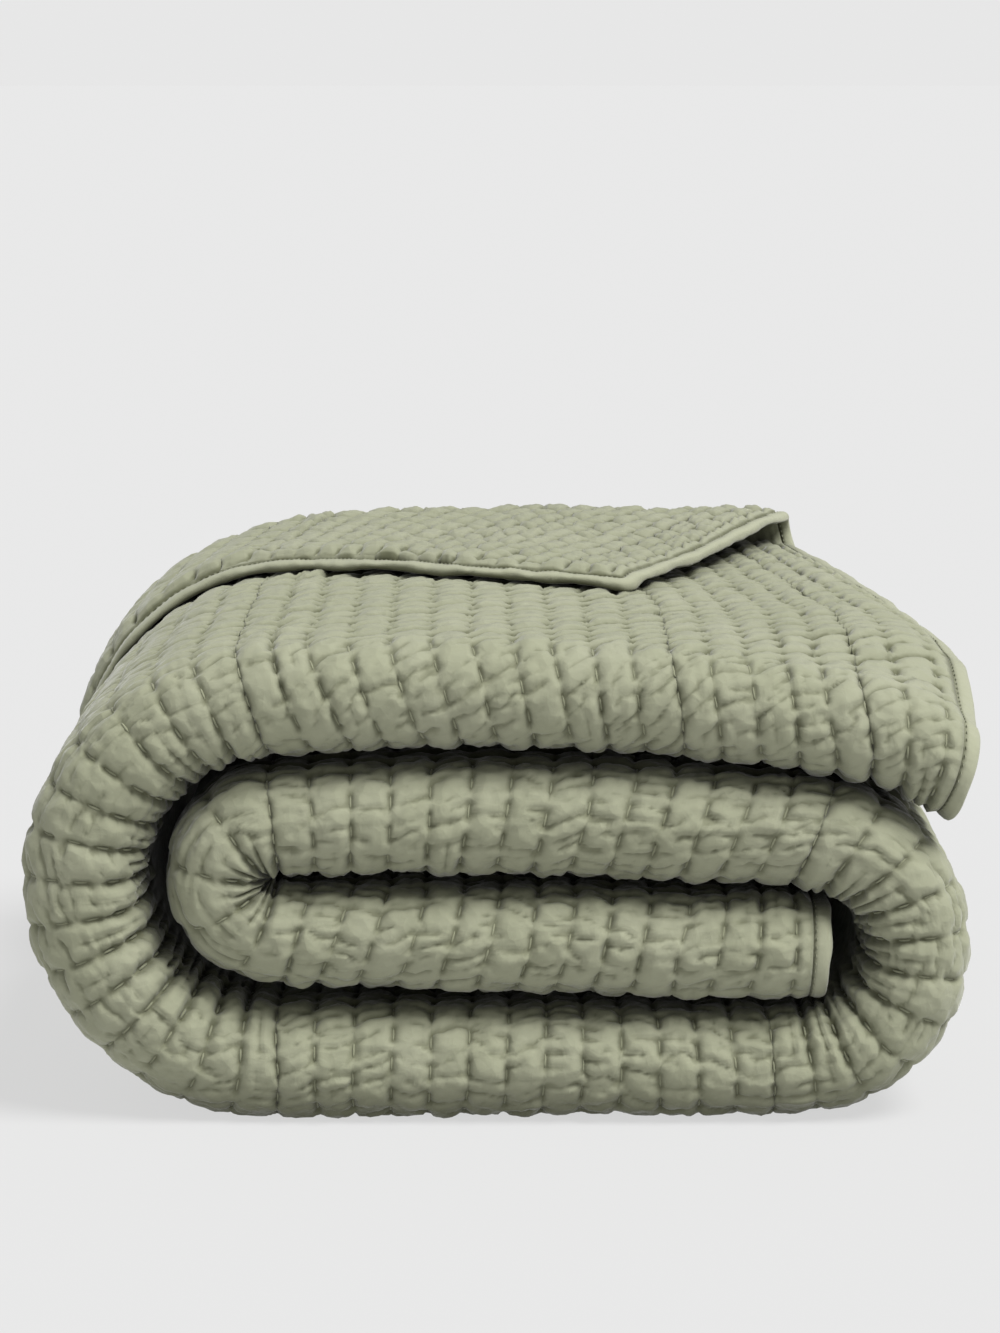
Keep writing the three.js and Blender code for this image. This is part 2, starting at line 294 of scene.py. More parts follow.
# Creases on one face (side 1 outer, -1 inner): some run from stitch to stitch across a channel, and
# the rest are folded facets. Nothing at the lines themselves. Where the quilt lies open on top
# (onTop 1), one broad crease from each stitch leaves it in plump bricks.
def crumple(s, w, side, onTop):
    size, gap = crumpling, sewing["spacing"]
    k, f, salt = channelAt(s, side)
    slip = np.mod(stitchPhase(k + 1, side) - stitchPhase(k, side) + gap / 2, gap) - gap / 2
    between = ease(size["seamFade"] * (4 * f * (1 - f)))
    along, across = size["wanderSize"]
    height = 0
    for number, (end, extra, share) in enumerate(size["creases"]):
        main = onTop * (number == 0)
        share = share * (1 - size["topFewer"] * onTop * (number > 0))
        deep = size["creaseDepth"] * mix(1, size["topDeeper"], main)
        wide = size["creaseWidth"] * mix(1, size["topWider"], main)
        line = stitchPhase(k, side) + end * sewing["stitch"] + slip * f
        line = line + size["creaseWander"] * softNoise(s / along, w / across, salt + extra)
        near = np.round((w - line) / gap)
        off = w - line - near * gap
        chance = hashed(k, near, salt + extra + 1) - size["noneBelow"]
        much = share * ease(chance / size["fullAfter"])
        shifted = hashed(k, 0 * k, salt + 41) > size["topSlip"]
        broad = mix(*size["topTurns"], np.mod(near + k * shifted, 2))
        much = mix(much, broad * np.maximum(much, size["topLeast"]), main)
        fromLeft = hashed(k, near, salt + extra + 3) < 0.5
        reach = mix(*size["reach"], hashed(k, near, salt + extra + 2)) + size["topReach"] * main
        short = reach + size["reachFade"] / 2 - np.where(fromLeft, f, 1 - f)
        strength = much * ease(short / size["reachFade"]) * between
        height = height - deep * strength * np.exp(-np.abs(off) / wide)
        tilt = 2 * hashed(k, near, salt + extra + 4) - size["stepLow"] + size["topStep"] * main
        tilt = size["stepHeight"] * tilt * strength * np.tanh(off / size["stepWidth"])
        height = height + tilt * np.exp(-np.abs(off) / size["stepReach"])
    slowS, slowW = s / size["bendSize"], w / size["bendSize"]
    bendX = s / size["facetSize"] + size["facetBend"] * softNoise(slowS, slowW, salt + 9)
    bendY = w / size["facetSize"] + size["facetBend"] * softNoise(slowS, slowW, salt + 10)
    first, second = facets(bendX, bendY, salt + 11)
    folded = size["facetDepth"] * (0.5 - first)
    folded = folded - size["facetFold"] * np.exp(-(second - first) / size["foldWidth"])
    first = facets(s / size["fineSize"] + bendX, w / size["fineSize"], salt + 13)[0]
    folded = folded + size["fineDepth"] * (0.5 - first)
    return height + folded * mix(1, size["topFolded"], onTop) * between


# How the filling puffs the quilt up between its lines, and how a bend crowds it into pleats
filling = {
    "seamLow": 1.7,  # half thickness left at a stitch
    "rise": 5.2,
    "mostRise": 9.0,
    "bulge": 0.36,  # more rise where the channel is crowded
    "riseUneven": (0.85, 1.15),
    "crown": 0.3,
    "pinchReach": 1.6,
    "pinchCrowd": (0.4, 1.2),
    "pillowShare": 0.36,  # of a slow, plump rise away from a stitch
    "pillowReach": 5.5,
    "pillowPower": 1.5,
    "lineDepth": 0.4,  # held down all along a line
    "lineWidth": 1.1,
    "linePatch": 14,
    "lineUneven": (0.6, 1.3),
    "creasePower": 1.1,
    "sharpBend": 0.008,
    "bendCrowds": 0.16,
    "crowdedFrom": 1.02,
    "crowdedGain": 2.2,
    "mostCrowded": 0.15,
    "crowdedDepth": 5.5,
    "crowdedWidth": 4.0,
    "crowdedSmoother": 0.6,
    "pleatDepth": 6.5,
    "pleatWidth": 2.0,
    "pleatWander": 0.14,
    "pleatWanderSize": 25,
    "pleatShare": 0.65,
    "pleatUneven": 1.6,
    "pleatLength": 40,
    "topPlumper": 1.3,
    "swell": 1.1,
    "swellSize": (58, 46),
    "thinnest": 1.4,
    "leastHalf": 2.4,
}


# Half thickness of the quilt at a place on its cloth, on its outer (side 1) or inner face (-1).
# crowd is the folded cloth's length there as a share of its flat length.
def halfThickness(s, w, side, crowd, onTop):
    size = filling
    k, f, salt = channelAt(s, side)
    bending = np.clip(np.abs(track(curving, s)) / size["sharpBend"], 0, 1)
    tight = size["crowdedGain"] * (size["crowdedFrom"] + size["bendCrowds"] * bending - crowd)
    tight = np.clip(tight, 0, 1)
    chord = np.clip(crowd, size["mostCrowded"], 1) * pitch
    rise = np.sqrt(size["rise"] ** 2 + size["bulge"] * chord * (pitch - chord))
    rise = np.minimum(rise, size["mostRise"])
    cell = np.round((w - stitchPhase(k, side)) / sewing["spacing"])
    rise = rise * mix(*size["riseUneven"], hashed(k, cell, salt + 2))
    rise = rise * mix(1, size["topPlumper"], onTop)

    # pinched in at each stitch, and held down a little all along the line
    half = np.full_like(f, np.inf)
    crease = 0
    for line, distance in ((k, f * pitch), (k + 1, (1 - f) * pitch)):
        beyond = np.maximum(np.abs(fromStitch(line, w, side)) - sewing["stitch"] / 2, 0)
        away = np.hypot(distance * np.clip(crowd, *size["pinchCrowd"]), beyond)
        steep = 1 - np.exp(-away / size["pinchReach"])
        plump = 1 - np.exp(-((away / size["pillowReach"]) ** size["pillowPower"]))
        half = np.minimum(half, size["seamLow"] + rise * mix(steep, plump, size["pillowShare"]))
        heldDown = mix(size["lineDepth"], size["crowdedDepth"], tight)
        patch = hashed(line, np.round(w / size["linePatch"]), salt + 4)
        heldDown = heldDown * mix(*size["lineUneven"], patch)
        narrow = size["lineWidth"] * mix(1, size["crowdedWidth"], tight)
        crease = crease + heldDown * np.exp(-((distance / narrow) ** size["creasePower"]))

    # one more pleat along the middle of a crowded channel
    wander = softNoise(s / pitch, w / size["pleatWanderSize"], salt + 5)
    folded = (f - 0.5 - size["pleatWander"] * wander) * pitch
    uneven = size["pleatUneven"] * softNoise(k + 0.5, w / size["pleatLength"], salt + 6)
    pleat = size["pleatDepth"] * tight * ease(size["pleatShare"] + uneven)
    crease = crease + pleat * np.exp(-np.abs(folded / size["pleatWidth"]) ** size["creasePower"])
    half = half - np.minimum(crease, half - size["seamLow"])
    full = half + size["crown"] * (1 - (2 * f - 1) ** 2)
    full = full + crumple(s, w, side, onTop) * mix(1, size["crowdedSmoother"], tight)
    along, across = size["swellSize"]
    full = full + size["swell"] * softNoise(s / along, w / across, salt + 15)
    return np.maximum(full, np.clip(half, size["thinnest"], size["leastHalf"]))


# The quilt thins towards its sewn edges
def thinned(half, s, w):
    edge = roll["bindingWidth"]
    toSides = np.minimum(w, roll["clothWidth"] - w)
    toEnds = np.minimum(s, roll["clothLength"] - s)
    inset = np.minimum(toSides, toEnds)
    return mix(sewing["edgeHalf"], half, ease((inset - edge) / sewing["edgeReach"]))


# Where the middle of the cloth lies: its place along the strip, its depth and height, and the
# direction in which its outer face looks
def middleOf(s, w, row, start):
    def inZone(name):
        return w - start[name]

    def slantAt(depth):
        share = (depth - roll["slantFrom"]) / (row["loopCentre"] - roll["slantFrom"])
        return row["slant"] * np.clip(share, 0, 1)

    def raisedBy(at, depth):
        rise = ease((depth - row["noseCentre"]) / roll["riseReach"])
        return row["upper"] + track(backTrack["rise"], at) * rise

    def sunkAt(at):
        return 2 * roll["foldRadius"] * (1 - track(backTrack["lift"], at))

    at = s + 0.0 * w
    noseLength = start["overOpen"] - start["nose"]
    folded = np.clip(inZone("lowFold") / roll["foldRadius"], 0, np.pi)
    rounded = np.clip(np.pi * inZone("nose") / noseLength, 0, np.pi)
    looped = np.clip(inZone("loop") / row["loop"], 0, np.pi)
    lean = np.radians(row["lean"])

    # the upper layer, which slants and sinks a little under the flap
    overDepth = np.minimum(row["noseCentre"] + inZone("overOpen"), row["loopCentre"])
    overAt = s - slantAt(overDepth)
    sinking = overDepth - row["flapEdge"] + roll["sinkStart"]
    sinking = np.clip(sinking / (roll["sinkStart"] - roll["sinkEnd"]), 0, 1)
    # the loop at the back and the turned-over flap
    loopAt = s - slantAt(row["loopCentre"])
    base = raisedBy(loopAt, row["loopCentre"]) - sunkAt(loopAt)
    out = np.maximum(inZone("flap"), 0)
    flapAt = loopAt - out * np.sin(lean)
    flapDepth = row["loopCentre"] - out * np.cos(lean)
    fall = ease(out / (roll["fallShare"] * row["turned"]))
    sag = roll["flapSag"] * ease((out - row["turned"] + roll["sagReach"]) / roll["sagReach"])
    flapHeight = raisedBy(flapAt, flapDepth) - sunkAt(flapAt) - sag
    flapHeight = flapHeight + 2 * mix(row["loop"], roll["foldRadius"], fall)

    # the inner panel and the lower fold, then each zone takes over where it starts
    spot = [
        at,
        row["backCentre"] + np.minimum(inZone("lowFold"), 0) + roll["foldRadius"] * np.sin(folded),
        row["lower"] + roll["foldRadius"] * (1 + np.cos(folded)),
        np.sin(folded),
        np.cos(folded),
    ]
    zones = {
        "under": (at, row["backCentre"] - inZone("under"), row["lower"], 0, -1),
        "nose": (
            at,
            row["noseCentre"] - roll["noseDepth"] * np.sin(rounded),
            mix(row["lower"], row["upper"], (1 - np.cos(rounded)) / 2),
            -np.sin(rounded),
            -np.cos(rounded),
        ),
        "overOpen": (
            overAt, overDepth, raisedBy(overAt, overDepth) - sunkAt(overAt) * sinking, 0, 1,
        ),
        "loop": (
            loopAt,
            row["loopCentre"] + row["loop"] * np.sin(looped),
            base + row["loop"] * (1 - np.cos(looped)),
            -np.sin(looped),
            np.cos(looped),
        ),
        "flap": (flapAt, flapDepth, flapHeight, 0, -1),
    }
    for zone, values in zones.items():
        here = w >= start[zone]
        spot = [np.where(here, new, old) for new, old in zip(values, spot)]
    at, depth, height, nd, nh = spot

    # the stitched lines lean and wander a little
    overNose = ease((w - start["nose"]) / noseLength) - 0.5
    fadeEnds = ease(s / sewing["leanFade"]) * ease((roll["clothLength"] - s) / sewing["leanFade"])
    at = at + np.interp(s, *zip(*sewing["leans"])) * overNose * fadeEnds
    along, across = sewing["wanderSize"]
    at = at + sewing["wander"] * softNoise(s / along, w / across, 31) * fadeEnds
    return at, depth, height, nd, nh


# A point at a distance off the middle of the cloth
def place(s, w, off, row, start):
    at, depth, height, nd, nh = middleOf(s, w, row, start)
    height = height + off * nh
    return inSpace(at - row["tip"] * height, depth + off * nd, height)


# The folded cloth's length along the strip as a share of its flat length
def crowding(s, w, off, row, start, reach=3.0):
    ahead = place(s + reach, w, off, row, start)
    behind = place(s - reach, w, off, row, start)
    return np.linalg.norm(ahead - behind, axis=-1) / (2 * reach)


def unit(v):
    return v / np.maximum(np.linalg.norm(v, axis=-1, keepdims=True), 1e-9)


# Outward direction of a grid of points, whose middle lies behind it
def facing(x, normal):
    ahead, aside = np.gradient(x, axis=1), np.gradient(x, axis=0)
    out = unit(np.cross(ahead, aside))
    return out * np.sign((out * normal).sum())


# A mesh from points in millimetres and quads, where a last index of -1 makes a triangle. cloth is
# each point's place on the flat cloth, and the last argument how far it lies up out of the folds,
# which sets the painted shade laid into its colour's hollows.
def newMesh(name, points, quads, cloth=None, paintedShadeDip=None):
    mesh = bpy.data.meshes.new(name)
    mesh.vertices.add(len(points))
    mesh.vertices.foreach_set("co", (np.asarray(points) * mm).astype(np.float32).ravel())
    quads = np.asarray(quads, np.int32)
    sizes = np.where(quads[:, 3] < 0, 3, 4)
    loops = quads.ravel()[quads.ravel() >= 0]
    mesh.loops.add(len(loops))
    mesh.loops.foreach_set("vertex_index", loops)
    mesh.polygons.add(len(quads))
    starts = np.concatenate([[0], np.cumsum(sizes)[:-1]])
    mesh.polygons.foreach_set("loop_start", starts.astype(np.int32))
    mesh.polygons.foreach_set("use_smooth", np.ones(len(quads), bool))
    mesh.update(calc_edges=True)
    if cloth is not None:
        layer = mesh.uv_layers.new(name="cloth")
        layer.data.foreach_set("uv", (np.asarray(cloth)[loops] * mm).astype(np.float32).ravel())
    if paintedShadeDip is not None:
        layer = mesh.attributes.new("paintedShadeDip", "FLOAT", "POINT")
        layer.data.foreach_set("value", paintedShadeDip.astype(np.float32))
    mesh.validate()
    made = bpy.data.objects.new(name, mesh)
    bpy.context.scene.collection.objects.link(made)
    return made


# The same quads, turned round where they face inwards
def facedOut(points, quads):
    a, b, c = (points[quads[:, i]] for i in range(3))
    d = points[np.where(quads[:, 3] < 0, quads[:, 2], quads[:, 3])]
    volume = (a * np.cross(b, c)).sum() + (a * np.cross(c, d)).sum()
    if volume > 0:
        return quads
    turned = quads[:, [0, 3, 2, 1]].copy()
    three = quads[:, 3] < 0
    turned[three] = quads[three][:, [0, 2, 1, 3]]
    return turned


# The sewing threads, in millimetres: running stitches, and the finer stitches beside the binding.
# Each stands proud in its middle and sinks in at its ends.
threads = {
    "running": {
        "length": 9.4, "radius": 0.95, "steps": 5, "sides": 6, "proud": 0.35, "sunk": 0.9,
        "margin": 5.0,  # kept free of stitches at the end of a line
    },
    "topstitch": {
        "length": 3.4, "radius": 0.42, "steps": 4, "sides": 4, "proud": 0.25, "sunk": 0.5,
        "pitch": 5.2, "away": 1.7,  # from stitch to stitch, and out from the binding's seam
    },
    "endRadius": 0.16,  # squared share of the radius left at a stitch's end
}
sewnLines = {"running": [], "topstitch": []}  # centre line and outward directions of each stitch


def trianglesIn(quads):
    return int((quads[:, 3] >= 0).sum() * 2 + (quads[:, 3] < 0).sum())


# Places along a stitch from its middle, and how far its thread stands proud there
def alongStitch(thread):
    share = np.linspace(-1, 1, thread["steps"])
    lift = mix(thread["proud"], -thread["sunk"], np.abs(share) ** 3)
    return share * thread["length"] / 2, lift[:, None]


def threadPiece(name, kind, part=slice(None)):
    thread, chosen = threads[kind], sewnLines[kind][part]
    lines, ups = (np.array(column) for column in zip(*chosen))
    steps, sides = thread["steps"], thread["sides"]
    ahead = unit(np.gradient(lines, axis=1))
    aside = unit(np.cross(ahead, ups))
    up = np.cross(aside, ahead)
    share = np.linspace(-1, 1, steps)
    taper = np.maximum(1 - np.abs(share) ** 4, threads["endRadius"])
    radius = thread["radius"] * np.sqrt(taper)
    angle = 2 * np.pi * np.arange(sides) / sides
    ring = np.cos(angle)[:, None] * aside[:, :, None]
    ring = ring + np.sin(angle)[:, None] * up[:, :, None]
    points = lines[:, :, None] + ring * radius[None, :, None, None]
    index = np.arange(lines.shape[0] * steps * sides).reshape(-1, steps, sides)
    after = np.roll(index, -1, axis=2)
    walls = np.stack([index[:, :-1], index[:, 1:], after[:, 1:], after[:, :-1]], -1)
    quads = [walls.reshape(-1, 4)]
    for end, turned in ((0, 1), (-1, -1)):
        cap = index[:, end][:, ::turned]
        for j in range(1, sides - 2, 2):
            quads.append(np.stack([cap[:, 0], cap[:, j], cap[:, j + 1], cap[:, j + 2]], -1))
    quads = np.concatenate(quads)
    points = points.reshape(-1, 3)
    quads = facedOut(points, quads)
    print(f"{name}: {len(lines)} stitches, {trianglesIn(quads)} triangles")
    return newMesh(name, points, quads)


# The quilt is cut into sections along its seam valleys, only to keep each mesh light. All sizes in
# millimetres, apart from the columns, which are shares of a channel.
quiltSections = {
    "columns": (0, 0.06, 0.14, 0.23, 0.33, 0.44, 0.56, 0.67, 0.77, 0.86, 0.94),
    "coarse": 26.0,  # from row to row where nothing shows
    "foldStep": 9.0,
    "noseStep": 1.8,
    "faceStep": 2.25,
    "backStep": 3.2,
    "reachBeyondNose": 42.0,  # fine rows go this far in behind the front fold
    "reachUnderFlap": 30.0,
    "reachPastFold": 25.0,
    "leastStep": 0.2,  # closer rows are left out
    "widestFine": 6.0,  # step at the end of a fine block
    "onLine": 0.3,  # a column this near a stitched line carries its stitches
    "leastColumn": 0.4,
    "topFrom": 20.0,  # the open top's plumper relief comes in from here, over this reach
    "topReach": 50.0,
    "crowdOff": 4.0,  # off the middle, where the crowding is measured
    "normalOff": 6.0,
    "hollowPasses": 7,  # the dips that the painted shade in the cloth's colour follows
    "hollowLevel": 0.62,
    "hollowGain": (4.5, 2.4),  # millimetres for the whole range, elsewhere and on top
    "hollowLeast": (0.38, 0.2),
    "hollowThin": (1.3, 1.9),
    "parts": {
        "quilt_inner_run": {"from": 0, "to": 19, "outFaces": False},
        "quilt_second_run": {"from": 19, "to": 33, "outFaces": False},
        "quilt_right_bend": {"from": 33, "to": 43, "outFaces": True},
        "quilt_bottom_run": {"from": 43, "to": 56, "outFaces": False},
        "quilt_left_bend": {"from": 56, "to": 71, "outFaces": True},
        "quilt_top_run": {"from": 71, "to": 82, "outFaces": True},
        "quilt_outer_end": {"from": 82, "to": 87, "outFaces": True, "flapShort": True},
        "quilt_end_edge": {
            "from": 87, "to": 90, "outFaces": True, "flapShort": True, "inside": True,
        },
    },
}


# Rows over a zone as shares of its length. plan: (how far, step) from the zone's start, where a
# negative distance counts from its end and None is its end
def spread(length, plan):
    places, at = [], 0.0
    for far, step in plan:
        to = length if far is None else (length + far if far < 0 else min(far, length))
        count = max(1, int(round((to - at) / step)))
        places += list(at + (to - at) * np.arange(count) / count)
        at = to
    return np.array(places) / length


# The rows of one face, and the blocks of them that show and so are fine
def quiltRows(start, cut, side):
    size = quiltSections
    fold, nose, face, back = size["foldStep"], size["noseStep"], size["faceStep"], size["backStep"]
    near, under = size["reachBeyondNose"], size["reachUnderFlap"]
    showing, outFaces = side > 0, cut["outFaces"]
    flapShort, inside = cut.get("flapShort", False), cut.get("inside", False)
    hidden = [(None, size["coarse"])]
    plans = {
        "panel": [(None, face)] if showing and inside else hidden,
        "lowFold": [(None, back if showing else fold)],
        "under": [(None, back)] if inside else hidden,
        "nose": [(None, nose if showing else fold)],
        "overOpen": hidden,
        "overCovered": hidden,
        "loop": [(None, fold if showing else back)],
        "flap": [(None, face)] if outFaces and not showing else hidden,
    }
    if showing:
        plans["under"] = [(size["reachPastFold"], back), (-near, size["coarse"]), (None, nose)]
        plans["overOpen"] = [(None, face)] if outFaces else [(near, nose)] + hidden
    if showing and outFaces:
        plans["overCovered"] = [(under, face)] + ([(None, face)] if flapShort else hidden)
    rows = []
    for name, after in zip(zoneNames[:-1], zoneNames[1:-1] + ("end",)):
        begin = start[name]
        finish = start[after] if after != "end" else np.full_like(begin, roll["clothWidth"])
        for t in spread(float(np.median(finish - begin)), plans[name]):
            rows.append(mix(begin, finish, t))
    rows.append(np.full_like(start["flap"], roll["clothWidth"]))
    edge = roll["bindingWidth"]
    inner = [np.clip(row, edge, roll["clothWidth"] - edge) for row in rows]
    kept = [inner[0]]
    for row in inner[1:]:
        if np.min(row - kept[-1]) > size["leastStep"]:
            kept.append(row)
    kept = np.array(kept)
    gaps = np.median(np.diff(kept, axis=0), axis=1)
    at = np.median(kept, axis=1)
    mids = {zone: np.median(value) for zone, value in start.items()}
    if showing:
        last = mids["overOpen"] + near
        if outFaces:
            last = mids["loop"] if flapShort else mids["overCovered"] + under
        spans = [(mids["nose"] - near, last)] + ([(edge, mids["lowFold"])] if inside else [])
    else:
        spans = [(mids["loop"], roll["clothWidth"])] if outFaces else []
        spans += [(mids["under"], mids["nose"])] if inside else []
    blocks = []
    for low, high in spans:
        fine = np.flatnonzero((at >= low - 0.1) & (at <= high + 0.1))
        while fine[-1] > fine[0] and gaps[fine[-1] - 1] > size["widestFine"]:
            fine = fine[:-1]
        blocks.append(slice(fine[0], fine[-1] + 1))
    return kept, blocks


# Triangles that close the cut end between two rows of points of different spacing
def zipped(rowA, rowB, placeA, placeB):
    faces, i, j = [], 0, 0
    while i < len(rowA) - 1 or j < len(rowB) - 1:
        nextA = placeA[i + 1] if i < len(rowA) - 1 else math.inf
        nextB = placeB[j + 1] if j < len(rowB) - 1 else math.inf
        if nextA <= nextB:
            faces.append((rowA[i], rowA[i + 1], rowB[j], -1))
            i += 1
        else:
            faces.append((rowA[i], rowB[j + 1], rowB[j], -1))
            j += 1
    return faces


# Running stitches on the seams of one face, as centre lines half sunk between the channels
def layStitches(spots, out, s, w, side):
    margin = threads["running"]["margin"]
    places, lift = alongStitch(threads["running"])
    for c in range(s.shape[1] - 1):
        k = np.round(s[0, c] / pitch)
        onLine = abs(s[0, c] - k * pitch) <= quiltSections["onLine"]
        if not onLine or k in (0, roll["channels"]):
            continue
        k = np.array([k])
        across = w[:, c]
        phase = stitchPhase(k, side)[0]
        first = int((across[0] - phase) // sewing["spacing"]) + 1
        last = int((across[-1] - phase) // sewing["spacing"])
        for centre in stitchCentre(k, np.arange(first, last + 1), side):
            if not across[0] + margin < centre < across[-1] - margin:
                continue
            at = centre + places
            line = np.stack([np.interp(at, across, spots[:, c, i]) for i in range(3)], -1)
            up = unit(np.stack([np.interp(at, across, out[:, c, i]) for i in range(3)], -1))
            sewnLines["running"].append((line + up * lift, up))


# How far each point of a face lies below (towards 0) or above (towards 1) the cloth round it;
# this sets the painted shade laid into the colour of its hollows
def hollowed(half, onTop):
    size = quiltSections
    soft = half
    for _ in range(size["hollowPasses"]):
        for axis in (0, 1):
            wide = np.pad(soft, [(1, 1) if a == axis else (0, 0) for a in (0, 1)], mode="edge")
            low, high = (wide[:-2], wide[2:]) if axis == 0 else (wide[:, :-2], wide[:, 2:])
            soft = soft / 2 + (low + high) / 4
    gentle = size["hollowLevel"] + (half - soft) / mix(*size["hollowGain"], onTop)
    gentle = np.clip(gentle, mix(*size["hollowLeast"], onTop), 1)
    thin, thinReach = size["hollowThin"]
    return np.clip(np.minimum(gentle, (half - thin) / thinReach), 0, 1)


# One section as a closed mesh: its outer and inner face, joined along the cloth's edges and closed
# at both cuts
def quiltPart(name, cut):
    size = quiltSections
    s = np.arange(cut["from"], cut["to"])[:, None] + np.array(size["columns"])[None]
    s = np.append(s.ravel() * pitch, cut["to"] * pitch)
    edge, least = roll["bindingWidth"] + roll["cutSlack"], size["leastColumn"]
    s = s[(s > edge + least) & (s < roll["clothLength"] - edge - least)]
    if cut["from"] == 0:
        s = np.insert(s, 0, edge)
    if cut["to"] == roll["channels"]:
        s = np.append(s, roll["clothLength"] - edge)
    row, start = zoneStarts(s)
    mids = {zone: np.median(value) for zone, value in start.items()}
    faces, points, cloth, paintedShadeDips, grids, base = [], [], [], [], [], 0
    for side in (1, -1):
        w, blocks = quiltRows(start, cut, side)
        ss = np.broadcast_to(s, w.shape)
        wide = {k: np.broadcast_to(v, w.shape) for k, v in row.items()}
        starts = {k: np.broadcast_to(v, w.shape) for k, v in start.items()}
        crowd = crowding(ss, w, side * size["crowdOff"], wide, starts)
        # channels show where a face is fine and round the back folds; the rest is hidden and plain
        at = np.median(w, axis=1)
        foldFrom, foldTo = ("lowFold", "under") if side > 0 else ("loop", "flap")
        shows = (at >= mids[foldFrom] - 1) & (at <= mids[foldTo] + size["coarse"])
        for block in blocks:
            shows[block] = True
        onTop = ease((w - starts["overOpen"] + size["topFrom"]) / size["topReach"])
        relief = halfThickness(ss, w, side, crowd, onTop)
        half = np.where(shows[:, None], relief, sewing["hiddenHalf"])
        half = thinned(half, ss, w)
        spots = place(ss, w, side * half, wide, starts)
        for block in blocks:
            fine = [{k: v[block] for k, v in table.items()} for table in (wide, starts)]
            middle = place(ss[block], w[block], 0.0, *fine)
            above = place(ss[block], w[block], side * size["normalOff"], *fine)
            out = facing(spots[block], unit(above - middle))
            layStitches(spots[block], out, ss[block], w[block], side)
        points.append(spots.reshape(-1, 3))
        cloth.append(np.stack([ss, w], -1).reshape(-1, 2))
        # how far each point stands out of its hollows, for the painted shade in its colour
        paintedShadeDips.append(hollowed(half, onTop).ravel())
        index = base + np.arange(w.size).reshape(w.shape)
        base += w.size
        grids.append((index, w))
        quads = np.stack(
            [index[:-1, :-1], index[:-1, 1:], index[1:, 1:], index[1:, :-1]], -1
        ).reshape(-1, 4)
        faces.append(quads if side > 0 else quads[:, ::-1])
    (outIndex, outW), (inIndex, inW) = grids
    joins = []
    for r in (0, -1):  # along the panel's edge and the flap's edge
        a, b = outIndex[r], inIndex[r]
        q = np.stack([a[:-1], b[:-1], b[1:], a[1:]], -1)
        joins.append(q if r == 0 else q[:, ::-1])
    caps = [
        np.array(zipped(outIndex[:, c], inIndex[:, c], outW[:, c], inW[:, c])) for c in (0, -1)
    ]
    caps[1][:, :3] = caps[1][:, [0, 2, 1]]
    quads = np.concatenate(faces + joins + caps)
    points = np.concatenate(points)
    quads = facedOut(points, quads)
    made = newMesh(name, points, quads, np.concatenate(cloth), np.concatenate(paintedShadeDips))
    print(f"{name}: {trianglesIn(quads)} triangles")
    return made


sections = [quiltPart(name, cut) for name, cut in quiltSections["parts"].items()]


# The binding sewn round all four edges: half of its section outward from the seam (how far out,
# half thickness), and how close its rings stand where it shows and where it is hidden
binding = {
    "section": [
        (-2.2, 1.4), (0.8, 2.0), (1.8, 3.0), (4.2, 3.5), (8.2, 3.5), (10.8, 2.7), (11.9, 1.6),
        (12.3, 0),
    ],
    "shown": 1.8,
    "hidden": 9.0,
    "showsFrom": 1380.0,  # along the flap's edge, which lies inside the roll before that
    "cornerSteps": 7,
    "wave": 0.2,
    "waveSize": 23,
    "fineWave": 0.6,
    "fineWaveSize": (7, 5),
    "wobble": 0.1,
    "wobbleSize": 17,
    "twist": 1.3,
    "twistSize": 41,
    "twistReach": 12,
    "pucker": 0.8,  # drawn in at each topstitch
    "puckerReach": 4.0,
    # an even level for the painted hollow shade, which lays barely any on the binding
    "paintedShadeDip": 0.6,
    "undersideShift": 20,  # of its weave, from the upper side's
    "hiddenInset": 15,  # no stitches this near the flap's edge where that is rolled in
    "panelInset": 1,
    "endInset": 20,
}


# Places round the cloth's edge, along and across it, and the angle at which the binding points out
def bindingPath():
    edge = roll["bindingWidth"]
    shown, hidden, showsFrom = (binding[key] for key in ("shown", "hidden", "showsFrom"))
    farS, farW = roll["clothLength"] - edge, roll["clothWidth"] - edge
    corner = np.linspace(0, np.pi / 2, binding["cornerSteps"], endpoint=False)

    def between(a, b, step):
        return np.linspace(a, b, int(abs(b - a) / step), endpoint=False)

    def backwards(places):
        return places[::-1] + places[1] - places[0]

    flapSide = np.concatenate([between(edge, showsFrom, hidden), between(showsFrom, farS, shown)])
    endSide, panelSide = between(edge, farW, shown), between(edge, farS, hidden)
    runs = [
        (flapSide, farW, np.pi / 2),
        (farS, farW, np.pi / 2 - corner),
        (farS, backwards(endSide), 0),
        (farS, edge, -corner),
        (backwards(panelSide), edge, -np.pi / 2),
        (edge, edge, -np.pi / 2 - corner),
        (edge, endSide, -np.pi),
        (edge, farW, -np.pi - corner),
    ]
    joined = [np.broadcast_arrays(*map(np.atleast_1d, run)) for run in runs]
    return [np.concatenate([run[i] for run in joined]) for i in range(3)]


